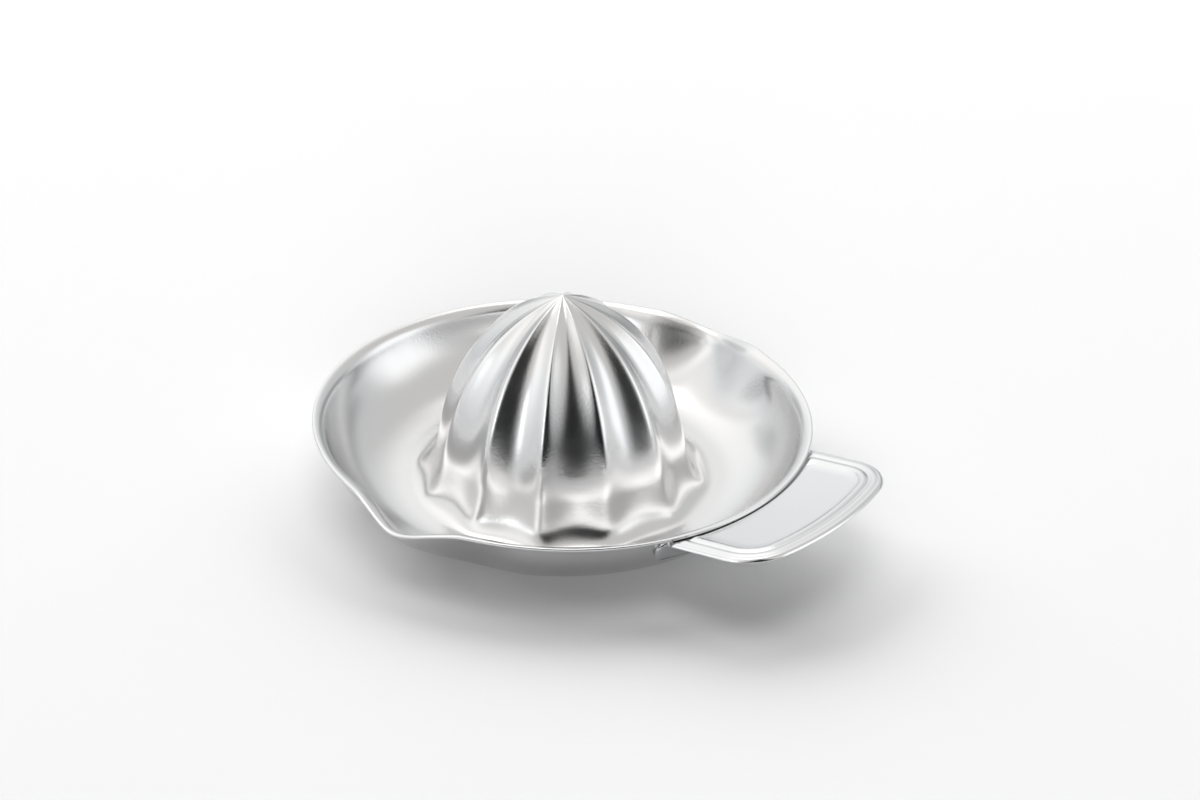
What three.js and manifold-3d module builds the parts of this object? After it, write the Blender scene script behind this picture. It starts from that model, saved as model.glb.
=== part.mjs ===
// Hand citrus juicer pressed from stainless sheet: a shallow dish with a fluted
// reamer drawn up from its floor, two pinched pouring spouts in the rim, and a
// pressed handle whose flange is spot welded to the outside of the wall.
//
// Millimetres, +Z up. The handle points along +X, the spouts lie on +Y and -Y, and
// the dish stands on z = 0. The middle of the footprint is at the origin.

import * as THREE from 'three';
import { mergeVertices } from 'three/addons/utils/BufferGeometryUtils.js';
import Module from 'manifold-3d';

const wasm = await Module();
wasm.setup();

// Sheet metal
const bodySheet = 1.0;
const handleSheet = 1.0;
const seamGap = 0.3;

// Dish: narrow flat floor that it stands on, wide round inside corner, steep wall and a
// rolled-out lip
const rimRadius = 70;
const rimHeight = 19.8;
const ovality = 1.2;
const wallSlope = THREE.MathUtils.degToRad(72);
const wallArcRadius = 21.5;
const floorWidth = 2.7;
const lipRadius = 3.5;
const rimEdgeBulge = 0.25;

// Pouring spouts, pinched into the rim on both sides
const spoutReach = 3.6;
const spoutDip = 3.6;
const spoutHalfWidth = 19.5;
const spoutTipRound = 5;
const spoutDipPower = 1.4;
const spoutWallStartShare = 0.12;
const spoutPinch = 2.4;

// Reamer, heights measured from the floor of the dish
const fluteCount = 12;
const reamerHeight = 58;
const tipReach = 8.1;
const tipDrop = 3.2;
const shoulderRadius = 29.9;
const shoulderHeight = 48.3;
const waistRadius = 35.4;
const footHeight = 12;
const valleyDepthShare = 0.14;
const valleyFootDepthShare = 0.05;
const ridgeRoundShare = 0.1;
const toeRoundShare = 0.3;
const valleyFadePower = 3;
const roundFadePower = 4;

// Handle, with its length measured out from the rim: a panel in a raised border, then a
// groove, a second band and a rolled edge. The bands run up to the lip and sink there, and
// the panel's inner edge shows by a narrow strip.
const handleTilt = THREE.MathUtils.degToRad(9.6);
const handleLength = 25.3;
const handleHalfWidth = 32.2;
const innerBandWidth = 3.2;
const innerBandHeight = 0.45;
const outerBandWidth = 3.9;
const outerBandHeight = 0.3;
const bandFadeLength = 1;
const seamStripWidth = 0.8;
const edgeRollRadius = 1.3;
const edgeRollTurn = THREE.MathUtils.degToRad(80);
const panelCornerRadius = 7.2;
const panelInnerCornerRadius = 1.6;
const neckTurn = THREE.MathUtils.degToRad(38);
const bendRadius = 1.8;

// Weld flange of the handle, with rounded tabs past its sides
const flangeHeight = 6;
const tabReach = 4;
const tabRadius = 2.6;

// Spot welds between the flange and the wall
const weldCount = 4;
const weldDiameter = 4;
const weldPocketDepth = 0.35;
const weldClearance = 0.1;
const weldSpreadShare = 0.72;
const weldDepthShare = 0.5;
const cutOverrun = 1;

// Facets
const dishSteps = 96;
const domeSteps = 11;
const footSteps = 5;
const wallArcSteps = 6;
const wallSteps = 1;
const lipSteps = 4;
const outerArcSteps = 4;
const cornerSteps = 6;
const sideSteps = 3;
const neckSteps = 3;
const tabSteps = 2;
const innerArcSteps = 7;
const weldSides = 20;

// Lines of the panel, as shares of the way from its middle to its edge, and of the
// border, as shares of each band's width. For the flange they are shares of the way from
// the groove to the blank's edge, closer together in the bend.
const panelShares = [0.4, 0.75];
const innerBandShares = [0, 0.25, 0.5, 0.75, 1];
const outerBandShares = [0.3, 0.6];
const rollShares = [0, 0.35, 0.7, 1];
const flangeShares = [0.07, 0.14, 0.21, 0.28, 0.55, 1];

const steel = { roughness: 0.22, metalness: 1.0 };
const bodyMaterial = new THREE.MeshStandardMaterial({ color: 0xc9cacb, ...steel });
const handleMaterial = new THREE.MeshStandardMaterial({ color: 0xd3d5d8, ...steel });
const weldMaterial = new THREE.MeshStandardMaterial({ color: 0xa9a7a3, ...steel, roughness: 0.5 });

const smoothShare = (value) => THREE.MathUtils.smoothstep(value, 0, 1);
const steps = (count) => Array.from({ length: count + 1 }, (_, i) => i / count);

// Builds one closed body from a list of closed rings of points, each as long as the
// next, with a fan to a pole at both ends. The rings run so that the faces look out.
function bodyFromRings(startPole, rings, endPole) {
  const count = rings[0].length;
  const points = [startPole, ...rings.flat(), endPole];
  const index = [];
  const at = (ring, i) => 1 + ring * count + (i % count);
  for (let i = 0; i < count; i += 1) {
    index.push(0, at(0, i), at(0, i + 1));
    index.push(points.length - 1, at(rings.length - 1, i + 1), at(rings.length - 1, i));
  }
  for (let ring = 0; ring + 1 < rings.length; ring += 1) {
    for (let i = 0; i < count; i += 1) {
      index.push(at(ring, i), at(ring + 1, i), at(ring, i + 1));
      index.push(at(ring, i + 1), at(ring + 1, i), at(ring + 1, i + 1));
    }
  }
  const geometry = new THREE.BufferGeometry().setFromPoints(points);
  geometry.setIndex(index);
  return geometry;
}

// Distance from the nearest ridge of the reamer: 0 on a ridge, 1 in mid valley.
function ridgeDistance(angle) {
  const turn = (angle * fluteCount) / (2 * Math.PI);
  return 2 * Math.abs(turn - Math.round(turn));
}

// How far across a flute: 0 on the ridge, 1 at the bottom of the round valley. The
// round share softens the ridge.
function fluteShare(angle, roundShare) {
  const distance = ridgeDistance(angle);
  const soft = Math.hypot(distance, roundShare) - roundShare;
  const full = Math.hypot(1, roundShare) - roundShare;
  return 1 - (1 - soft / full) ** 2;
}

// Angle from the nearer spout axis, which lies on +Y or -Y.
function spoutAngle(angle) {
  return Math.asin(Math.abs(Math.cos(angle)));
}

// How far the rim is pushed out and dips at this angle, and how far the wall under it
// is pinched in beside the spout.
function rimShape(angle) {
  const round = spoutTipRound / rimRadius;
  const soft = Math.hypot(spoutAngle(angle), round);
  const axisRadius = rimRadius - ovality;
  const tangent = round + Math.acos(axisRadius / (axisRadius + spoutReach));
  const straight = axisRadius / Math.cos(Math.max(0, tangent - soft)) - axisRadius;
  const dipShare = Math.max(0, 1 - (soft * rimRadius) / spoutHalfWidth);
  const fullShare = 1 - spoutTipRound / spoutHalfWidth;
  const flank = Math.min(1, (spoutAngle(angle) * rimRadius) / (2 * spoutHalfWidth));
  return {
    out: ovality * Math.cos(2 * angle) + straight,
    dip: spoutDip * (dipShare / fullShare) ** spoutDipPower,
    pinch: spoutPinch * Math.sin(Math.PI * flank) ** 2,
  };
}

// Half section of the dish wall from the floor to the rim, as radius and height above
// the floor, before the rim's own shape.
function wallSection() {
  const rise = rimHeight - bodySheet;
  const arcRise = (wallArcRadius + lipRadius) * (1 - Math.cos(wallSlope));
  const straight = (rise - arcRise) / Math.sin(wallSlope);
  const run = (wallArcRadius + lipRadius) * Math.sin(wallSlope) + straight * Math.cos(wallSlope);
  const floorRadius = rimRadius - run;
  const arc = steps(wallArcSteps).map((share) => new THREE.Vector2(
    floorRadius + wallArcRadius * Math.sin(share * wallSlope),
    wallArcRadius * (1 - Math.cos(share * wallSlope)),
  ));
  const foot = arc[arc.length - 1];
  const along = new THREE.Vector2(Math.cos(wallSlope), Math.sin(wallSlope));
  const wall = steps(wallSteps).slice(1).map((share) => (
    foot.clone().addScaledVector(along, share * straight)
  ));
  const lip = steps(lipSteps).slice(1).map((share) => new THREE.Vector2(
    rimRadius - lipRadius * Math.sin((1 - share) * wallSlope),
    rise - lipRadius * (1 - Math.cos((1 - share) * wallSlope)),
  ));
  return [...arc, ...wall, ...lip];
}

const dishSection = wallSection();

// Radius where the reamer's foot runs into the flat of the floor.
const footRadius = dishSection[0].x - floorWidth;

// The same half section at one angle, with the oval rim and the spouts worked in.
function dishWall(angle) {
  const shape = rimShape(angle);
  const rise = rimHeight - bodySheet;
  return dishSection.map((point) => {
    const height = point.y / rise;
    const share = smoothShare((height - spoutWallStartShare) / (1 - spoutWallStartShare));
    const pinch = shape.pinch * Math.sin(Math.PI * height);
    return new THREE.Vector2(point.x + share * shape.out - pinch, point.y - share * shape.dip);
  });
}

// Ridge line of the reamer from the tip down to the start of its foot.
const ridgeCurve = new THREE.CubicBezierCurve(
  new THREE.Vector2(0, reamerHeight),
  new THREE.Vector2(tipReach, reamerHeight - tipDrop),
  new THREE.Vector2(shoulderRadius, shoulderHeight),
  new THREE.Vector2(waistRadius, footHeight),
);

// Half section of the reamer at one angle, from below the tip to the floor. The flutes
// stay deep and crisp down the dome and fade towards the foot.
function reamerWall(angle) {
  const dome = steps(domeSteps).slice(1).map((share) => {
    const round = THREE.MathUtils.lerp(ridgeRoundShare, toeRoundShare, share ** roundFadePower);
    const fade = share ** valleyFadePower;
    const depth = THREE.MathUtils.lerp(valleyDepthShare, valleyFootDepthShare, fade);
    const valley = 1 - depth * fluteShare(angle, round);
    const ridge = ridgeCurve.getPoint(share);
    return new THREE.Vector2(ridge.x * valley, ridge.y);
  });
  const top = dome[dome.length - 1];
  const lean = (waistRadius - shoulderRadius) / (shoulderHeight - footHeight);
  const corner = new THREE.Vector2(top.x + lean * footHeight, 0);
  const foot = new THREE.QuadraticBezierCurve(top, corner, new THREE.Vector2(footRadius, 0));
  return [...dome, ...steps(footSteps).slice(1).map((share) => foot.getPoint(share))];
}

// Unit normals of a half section that runs outward, on its upper side.
function sectionNormals(section, before) {
  return section.map((point, i) => {
    const previous = i > 0 ? section[i - 1] : before;
    const next = i + 1 < section.length ? section[i + 1] : point;
    const along = next.clone().sub(previous).normalize();
    return new THREE.Vector2(-along.y, along.x);
  });
}

// Upper and lower line of the whole body's sheet at one angle. The sheet is level at both
// ends of the floor and at the rim.
function bodySection(angle) {
  const reamer = reamerWall(angle);
  const upper = [...reamer, ...dishWall(angle)];
  const normals = sectionNormals(upper, new THREE.Vector2(0, reamerHeight));
  [reamer.length - 1, reamer.length, upper.length - 1].forEach((i) => normals[i].set(0, 1));
  const lower = upper.map((point, i) => point.clone().addScaledVector(normals[i], -bodySheet));
  return { upper, lower };
}

const onCircle = (radius, angle, height) => new THREE.Vector3(
  radius * Math.cos(angle),
  radius * Math.sin(angle),
  height,
);

function juicerBody() {
  const angles = steps(dishSteps).slice(1).map((share) => share * 2 * Math.PI);
  const sections = angles.map(bodySection);
  const ringOf = (line, i) => sections.map((section, k) => (
    onCircle(section[line][i].x, angles[k], section[line][i].y + bodySheet)
  ));
  const last = sections[0].upper.length - 1;
  const upperRings = steps(last).map((_, i) => ringOf('upper', i));
  const lowerRings = steps(last).map((_, i) => ringOf('lower', last - i));
  const edgeRing = sections.map((section, k) => (
    onCircle(section.upper[last].x + rimEdgeBulge, angles[k], section.upper[last].y + bodySheet / 2)
  ));
  const tip = new THREE.Vector3(0, 0, reamerHeight + bodySheet);
  const tipUnder = new THREE.Vector3(0, 0, reamerHeight);
  return bodyFromRings(tip, [...upperRings, edgeRing, ...lowerRings], tipUnder);
}

// Outer face of the dish wall, in the sheet's own thickness past the inside, as a list
// of radius and height above the table.
function outerWall(angle) {
  const { lower } = bodySection(angle);
  return lower.slice(-dishSection.length).map((point) => (
    new THREE.Vector2(point.x, point.y + bodySheet)
  ));
}

// A point on the line through the straight part of the outer wall, moved out by a gap,
// at a height, with the unit direction up the wall.
function seamLine(angle, gap) {
  const wall = outerWall(angle);
  const low = wall[wallArcSteps];
  const high = wall[wallArcSteps + wallSteps];
  const up = high.clone().sub(low).normalize();
  const out = new THREE.Vector2(up.y, -up.x);
  return { base: low.clone().addScaledVector(out, gap), up, out };
}

// Height of the top of the handle's panel over the table. The panel follows the round
// rim, so that it is part of a shallow cone.
function panelHeight(radius) {
  const rim = rimRadius + ovality;
  return rimHeight - bodySheet - seamGap + (radius - rim) * Math.tan(handleTilt);
}

// The bend between the handle's panel and the flange at one angle: where the panel
// line meets the seam line, and how long the bent part is.
function bendAt(angle) {
  const seam = seamLine(angle, seamGap);
  const slope = Math.tan(handleTilt);
  const rise = seam.base.y - panelHeight(seam.base.x);
  const along = rise / (slope * seam.up.x - seam.up.y);
  const corner = seam.base.clone().addScaledVector(seam.up, along);
  const outward = new THREE.Vector2(1, slope).normalize();
  const turn = Math.PI - outward.angleTo(seam.up.clone().negate());
  const tangent = bendRadius * Math.tan(turn / 2);
  const start = corner.clone().addScaledVector(outward, tangent);
  const end = corner.clone().addScaledVector(seam.up, -tangent);
  return { seam, start, corner, end, length: bendRadius * turn };
}

// Puts a point of the flat blank in its pressed place. Past the start of the bend the
// blank runs round the bend and down the wall.
function foldBlank(point) {
  const angle = Math.atan2(point.y, point.x);
  const radius = point.length();
  const bend = bendAt(angle);
  const past = bend.start.x - radius;
  if (past <= 0) {
    return new THREE.Vector3(point.x, point.y, panelHeight(radius));
  }
  if (past < bend.length) {
    const curve = new THREE.QuadraticBezierCurve(bend.start, bend.corner, bend.end);
    const placed = curve.getPoint(past / bend.length);
    return onCircle(placed.x, angle, placed.y);
  }
  const placed = bend.end.clone().addScaledVector(bend.seam.up, bend.length - past);
  return onCircle(placed.x, angle, placed.y);
}

// Outline of the handle's panel and the lines parallel to it, in the flat blank. Each
// station gives the point on the panel's edge, the way out of the panel, how far the bands
// are stretched along it, and on the flange the end of that way on the blank's own edge.
// Half of the loop, from the tip to the wall.
const borderWidth = innerBandWidth + outerBandWidth;
const handleReach = rimRadius + ovality + handleLength;
const panelHalfWidth = handleHalfWidth - borderWidth;
const panelReach = handleReach - borderWidth;
const cornerSide = panelHalfWidth - panelCornerRadius;
const cornerRadial = panelReach - panelCornerRadius;
const cornerX = Math.sqrt(cornerRadial ** 2 - cornerSide ** 2);

function outerStations() {
  const sweep = Math.atan2(cornerSide, cornerX);
  const centre = new THREE.Vector2(cornerX, cornerSide);
  const arc = steps(outerArcSteps).slice(0, -1).map((share) => {
    const out = new THREE.Vector2(Math.cos(share * sweep), Math.sin(share * sweep));
    return { panel: out.clone().multiplyScalar(panelReach), out, stretch: 1 };
  });
  const corner = steps(cornerSteps).map((share) => {
    const turn = THREE.MathUtils.lerp(sweep, Math.PI / 2, share);
    const out = new THREE.Vector2(Math.cos(turn), Math.sin(turn));
    return { panel: centre.clone().addScaledVector(out, panelCornerRadius), out, stretch: 1 };
  });
  return [...arc, ...corner];
}

// Radius of the panel's inner edge and of the line where the bend starts.
const lipEdge = rimRadius + ovality + rimEdgeBulge;
const grooveRadius = bendAt(0).start.x + handleSheet / 2;
const panelInnerRadius = lipEdge + seamStripWidth;
const seamStretch = (panelInnerRadius - grooveRadius) / innerBandWidth;
const innerCentreSide = panelHalfWidth - panelInnerCornerRadius;
const innerCentreRadial = panelInnerRadius + panelInnerCornerRadius;
const innerCentreX = Math.sqrt(innerCentreRadial ** 2 - innerCentreSide ** 2);

function sideStations() {
  const out = new THREE.Vector2(0, 1);
  return steps(sideSteps).slice(1).map((share) => ({
    panel: new THREE.Vector2(THREE.MathUtils.lerp(cornerX, innerCentreX, share), panelHalfWidth),
    out,
    stretch: 1,
  }));
}

// Points of the tab's rounded end, as arc length to the side of the axis and distance
// down the blank from the start of the bend.
function tabOutline() {
  const bend = bendAt(Math.asin(handleHalfWidth / grooveRadius));
  const side = handleHalfWidth + tabReach - tabRadius;
  const top = bend.length + tabRadius;
  const bottom = bend.length + flangeHeight - tabRadius;
  const quarter = (depth, from) => steps(tabSteps).map((share) => {
    const turn = from - share * (Math.PI / 2);
    return { side: side + tabRadius * Math.cos(turn), depth: depth - tabRadius * Math.sin(turn) };
  });
  return [...quarter(top, Math.PI / 2), ...quarter(bottom, 0)];
}

// A point of the blank from its arc length to the side and its distance past the bend.
function tabPoint({ side, depth }) {
  const angle = side / grooveRadius;
  const radius = bendAt(angle).start.x - depth;
  return new THREE.Vector2(radius * Math.cos(angle), radius * Math.sin(angle));
}

// A station on the panel's small inner corner, with its way out turned by an angle.
function innerCorner(turn) {
  const out = new THREE.Vector2(Math.cos(turn), Math.sin(turn));
  const centre = new THREE.Vector2(innerCentreX, innerCentreSide);
  return { panel: centre.addScaledVector(out, panelInnerCornerRadius), out };
}

// The neck, where the bands run on along the handle's straight side up to the lip.
function neckStations() {
  return steps(neckSteps).slice(1).map((share) => {
    const station = innerCorner(Math.PI / 2 + share * neckTurn);
    const toSide = (handleHalfWidth - station.panel.y) / station.out.y;
    return { ...station, stretch: toSide / borderWidth };
  });
}

function flangeStations() {
  const sweep = Math.atan2(innerCentreSide, innerCentreX);
  const neck = neckStations();
  const neckStretch = neck[neck.length - 1].stretch;
  const tab = tabOutline();
  const corner = tab.map((place, i) => {
    const share = (i + 1) / tab.length;
    const turn = THREE.MathUtils.lerp(Math.PI / 2 + neckTurn, Math.PI + sweep, share);
    const stretch = THREE.MathUtils.lerp(neckStretch, seamStretch, smoothShare(share));
    return { ...innerCorner(turn), stretch, edge: tabPoint(place) };
  });
  const end = tab[tab.length - 1];
  const inner = steps(innerArcSteps).slice(1).map((share) => {
    const turn = sweep * (1 - share);
    const out = new THREE.Vector2(-Math.cos(turn), -Math.sin(turn));
    const edge = tabPoint({ side: end.side * (1 - share), depth: end.depth });
    const panel = out.clone().multiplyScalar(-panelInnerRadius);
    return { panel, out, stretch: seamStretch, edge };
  });
  return [...neck, ...corner, ...inner];
}

function mirrorStation({ panel, out, stretch, edge }) {
  const flip = (point) => point && new THREE.Vector2(point.x, -point.y);
  return { panel: flip(panel), out: flip(out), stretch, edge: flip(edge) };
}

function loopStations() {
  const half = [...outerStations(), ...sideStations(), ...flangeStations()];
  const other = half.slice(1, -1).reverse().map(mirrorStation);
  return [...half, ...other];
}

const bandRise = (share) => Math.sin(Math.PI * share) ** 2;

// The border of the handle on its free sides, as distance out from the panel's edge and
// height over the panel.
function borderSection() {
  const inner = innerBandShares.map((share) => new THREE.Vector2(
    share * innerBandWidth,
    innerBandHeight * bandRise(share),
  ));
  const flat = outerBandWidth - edgeRollRadius;
  const outer = outerBandShares.map((share) => new THREE.Vector2(
    innerBandWidth + share * flat,
    outerBandHeight * bandRise(share),
  ));
  const roll = rollShares.map((share) => new THREE.Vector2(
    innerBandWidth + flat + edgeRollRadius * Math.sin(share * edgeRollTurn),
    edgeRollRadius * (Math.cos(share * edgeRollTurn) - 1),
  ));
  return [...inner, ...outer, ...roll];
}

// Unit direction up and away from the panel at one point of the blank.
function panelUp(point) {
  return onCircle(-Math.sin(handleTilt), Math.atan2(point.y, point.x), Math.cos(handleTilt));
}

// Height of the border over the panel at a point of the blank. What stands up sinks to the
// panel on the way to the lip.
function borderHeight(point, height, stretch) {
  const clear = (point.length() - lipEdge) / bandFadeLength;
  return height > 0 ? height * Math.min(1, stretch) * smoothShare(clear) : height;
}

const panelMiddle = new THREE.Vector2((panelInnerRadius + panelReach) / 2, 0);

function stationLine(station, border) {
  const bands = innerBandShares.length;
  const { stretch } = station;
  const groove = station.panel.clone().addScaledVector(station.out, stretch * innerBandWidth);
  const panel = panelShares.map((share) => (
    foldBlank(panelMiddle.clone().lerp(station.panel, share))
  ));
  const rest = border.map(({ x: distance, y: height }, i) => {
    if (station.edge && i >= bands) {
      return foldBlank(groove.clone().lerp(station.edge, flangeShares[i - bands]));
    }
    const flat = station.panel.clone().addScaledVector(station.out, stretch * distance);
    return foldBlank(flat).addScaledVector(panelUp(flat), borderHeight(flat, height, stretch));
  });
  return [...panel, ...rest];
}

// Upper side normals of a grid of points, with closed rings.
function gridNormals(rings) {
  const count = rings[0].length;
  return rings.map((ring, i) => ring.map((_, k) => {
    const inner = rings[Math.max(i - 1, 0)][k];
    const outer = rings[Math.min(i + 1, rings.length - 1)][k];
    const before = ring[(k + count - 1) % count];
    const after = ring[(k + 1) % count];
    const across = outer.clone().sub(inner);
    return across.cross(after.clone().sub(before)).normalize();
  }));
}

function handleBlank() {
  const border = borderSection();
  const lines = loopStations().map((station) => stationLine(station, border));
  const upper = lines[0].map((_, i) => lines.map((line) => line[i]));
  const normals = gridNormals(upper);
  const lower = upper.map((ring, i) => ring.map((point, k) => (
    point.clone().addScaledVector(normals[i][k], -handleSheet)
  )));
  const middle = foldBlank(panelMiddle);
  const under = middle.clone().addScaledVector(panelUp(panelMiddle), -handleSheet);
  return bodyFromRings(middle, [...upper, ...lower.reverse()], under);
}

// A round plug square to the wall at one angle, from one gap to another past its face.
function weldPlug(angle, diameter, from, to) {
  const bend = bendAt(angle);
  const { up, out } = bend.seam;
  const down = -flangeHeight * weldDepthShare;
  const place = bend.end.clone().addScaledVector(up, down);
  const centre = place.addScaledVector(out, (from + to) / 2 - seamGap);
  const plug = new THREE.CylinderGeometry(diameter / 2, diameter / 2, to - from, weldSides);
  const outward = onCircle(out.x, angle, out.y);
  const turn = new THREE.Quaternion().setFromUnitVectors(new THREE.Vector3(0, 1, 0), outward);
  return plug.applyQuaternion(turn).translate(
    centre.x * Math.cos(angle),
    centre.x * Math.sin(angle),
    centre.y,
  );
}

function weldAngles() {
  const half = weldSpreadShare * (handleHalfWidth / grooveRadius);
  return steps(weldCount - 1).map((share) => THREE.MathUtils.lerp(-half, half, share));
}

function toSolid(geometry) {
  const bare = geometry.clone();
  bare.deleteAttribute('normal');
  bare.deleteAttribute('uv');
  const merged = mergeVertices(bare);
  return new wasm.Manifold(new wasm.Mesh({
    numProp: 3,
    vertProperties: new Float32Array(merged.attributes.position.array),
    triVerts: new Uint32Array(merged.index.array),
  }));
}

function toGeometry(solid) {
  const { vertProperties, triVerts } = solid.getMesh();
  const geometry = new THREE.BufferGeometry();
  geometry.setAttribute('position', new THREE.BufferAttribute(vertProperties, 3));
  geometry.setIndex(new THREE.BufferAttribute(triVerts, 1));
  return geometry;
}

function handle() {
  const diameter = weldDiameter + 2 * weldClearance;
  const floor = seamGap + weldPocketDepth;
  const pockets = weldAngles().map((angle) => (
    toSolid(weldPlug(angle, diameter, seamGap - cutOverrun, floor))
  ));
  const cut = pockets.reduce((solid, pocket) => solid.subtract(pocket), toSolid(handleBlank()));
  return toGeometry(cut);
}

function named(name, geometry, material) {
  geometry.computeVertexNormals();
  const mesh = new THREE.Mesh(geometry, material);
  mesh.name = name;
  return mesh;
}

const juicer = new THREE.Group();
juicer.add(named('juicer_body', juicerBody(), bodyMaterial));
juicer.add(named('handle', handle(), handleMaterial));
weldAngles().forEach((angle, i) => {
  const top = seamGap + weldPocketDepth - weldClearance;
  const spot = weldPlug(angle, weldDiameter, weldClearance, top);
  juicer.add(named(`weld_spot_${i + 1}`, spot, weldMaterial));
});

// The footprint's middle comes to the origin.
const middle = new THREE.Box3().setFromObject(juicer).getCenter(new THREE.Vector3());
juicer.position.x = -middle.x;

export default juicer;
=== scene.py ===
"""Hand citrus juicer pressed from satin stainless sheet, on a pale table in soft studio light.

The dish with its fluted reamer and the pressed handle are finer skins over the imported
solids. Shapes are worked out in millimetres and written to the meshes in metres. The
handle points along +X, the spouts lie on +Y and -Y, and the dish stands on z = 0.
"""

import logging
import math
from collections.abc import Sequence
from dataclasses import dataclass
from enum import Enum

import bpy
import numpy as np
from mathutils import Matrix, Vector
from numpy.typing import ArrayLike, NDArray

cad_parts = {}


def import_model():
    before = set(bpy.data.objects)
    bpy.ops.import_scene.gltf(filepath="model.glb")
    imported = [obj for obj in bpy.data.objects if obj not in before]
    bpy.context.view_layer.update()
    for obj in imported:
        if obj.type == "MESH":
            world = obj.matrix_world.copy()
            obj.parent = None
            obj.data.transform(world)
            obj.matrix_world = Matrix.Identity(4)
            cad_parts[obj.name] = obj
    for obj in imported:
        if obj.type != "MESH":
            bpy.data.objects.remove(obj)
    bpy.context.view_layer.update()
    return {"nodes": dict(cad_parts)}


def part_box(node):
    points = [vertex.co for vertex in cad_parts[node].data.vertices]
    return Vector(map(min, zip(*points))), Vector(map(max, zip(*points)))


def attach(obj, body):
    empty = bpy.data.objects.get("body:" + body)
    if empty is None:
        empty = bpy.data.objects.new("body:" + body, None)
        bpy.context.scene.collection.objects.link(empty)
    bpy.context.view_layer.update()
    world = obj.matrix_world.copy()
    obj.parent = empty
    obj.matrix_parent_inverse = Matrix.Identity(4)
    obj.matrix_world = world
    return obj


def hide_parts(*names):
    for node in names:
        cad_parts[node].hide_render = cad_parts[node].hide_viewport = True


Colour = tuple[float, float, float]
Floats = NDArray[np.float64]
Node = bpy.types.Node
Piece = bpy.types.Object
Socket = bpy.types.NodeSocket
Stations = tuple[Floats, Floats, Floats, Floats]
Tree = bpy.types.NodeTree

MM = 0.001
LOG = logging.getLogger("juicer")


class WearAndHighlight(Enum):
    """Names of the point attributes that the steel finishes read: polishing with a painted highlight, and
    heat tint.
    """

    # Polishing, which lowers the roughness, and a painted highlight, which brightens the colour
    POLISH_AND_HIGHLIGHT = "polish_and_painted_highlight"
    STAINED = "wear_stained"


def smooth_step(value: Floats) -> Floats:
    """Ease from 0 to 1: 3 v squared minus 2 v cubed, with v held between 0 and 1."""
    held = np.clip(value, 0.0, 1.0)
    return held * held * (3.0 - 2.0 * held)


def mix(start: Floats | float, end: Floats | float, share: Floats | float) -> Floats:
    """Straight line from start to end: start plus share times their difference."""
    return np.asarray(start + (np.asarray(end) - start) * share, dtype=float)


def steps(count: int) -> Floats:
    """Shares of a way after each of a count of even steps, the last of them 1."""
    return np.linspace(0.0, 1.0, count + 1)[1:]


def pairs(first: ArrayLike, second: ArrayLike) -> Floats:
    """Rows of two numbers, such as radius and height, fitted to each other's shape."""
    return np.stack(np.broadcast_arrays(first, second), -1)


def ray(angle: Floats) -> Floats:
    """Unit direction at each angle: its cosine and its sine."""
    return pairs(np.cos(angle), np.sin(angle))


def unit(vectors: Floats) -> Floats:
    """Vectors divided by their lengths."""
    return vectors / np.linalg.norm(vectors, axis=-1, keepdims=True)


def quarter_turn(vectors: Floats) -> Floats:
    """Plane vectors turned clockwise by a quarter: x and y become y and minus x."""
    return vectors[..., ::-1] * np.array([1.0, -1.0])


def bezier(points: Sequence[ArrayLike], share: Floats) -> Floats:
    """Bezier curve between its end points, by the Bernstein sum of its control points.

    Args:
        points: Three or four control points, each a number, a point or a row of them.
        share: Curve parameters between 0 and 1, as a column.

    Returns:
        The curve at each parameter.
    """
    degree = len(points) - 1
    return sum(
        math.comb(degree, order) * share**order * (1.0 - share) ** (degree - order) * np.asarray(point)
        for order, point in enumerate(points)
    )


def swing(section: Floats, angle: Floats) -> Floats:
    """Swing points of a half section round the upright axis.

    Args:
        section: Radius and height of each point.
        angle: Angle that each point is swung to.

    Returns:
        Radius times cosine, radius times sine, and height.
    """
    flat = section[..., :1] * ray(angle)
    return np.concatenate([flat, np.broadcast_to(section[..., 1:], flat[..., :1].shape)], -1)


def rounded_edge(upper: Floats, lower: Floats, outward: Floats, bulge: float, rows: int) -> Floats:
    """Rows that close a free edge of the sheet with half an ellipse.

    From the middle of the edge, a row lies the cosine of its turn times half the sheet
    towards the upper side, and the sine times the bulge outward.

    Args:
        upper: Edge of the upper side.
        lower: Edge of the lower side.
        outward: Unit direction out of the sheet at each point.
        bulge: How far the edge bulges.
        rows: How many rows there are.

    Returns:
        The rows, from the upper side to the lower.
    """
    turn = np.linspace(0.0, math.pi, rows + 2)[1:-1, None, None]
    return (upper + lower) / 2.0 + (upper - lower) / 2.0 * np.cos(turn) + outward * bulge * np.sin(turn)


def skin_faces(rings: int, count: int) -> list[tuple[int, ...]]:
    """Faces of a closed skin of rings between two poles.

    Point 0 is the first pole, the rings follow, and the last point is the other pole.
    A quad joins neighbours on two rings, and a fan of triangles closes each pole.

    Args:
        rings: How many rings there are.
        count: How many points each ring has.

    Returns:
        Corner numbers of every face, outside facing.
    """
    here = np.arange(count)
    after = (here + 1) % count
    low = 1 + np.arange(rings - 1)[:, None] * count
    quads = np.stack([low + here, low + count + here, low + count + after, low + after], -1)
    last = 1 + (rings - 1) * count
    first_fan = np.stack([np.zeros(count, int), 1 + here, 1 + after], -1)
    last_fan = np.stack([np.full(count, last + count), last + after, last + here], -1)
    return [tuple(row) for part in (quads.reshape(-1, 4), first_fan, last_fan) for row in part.tolist()]


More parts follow.
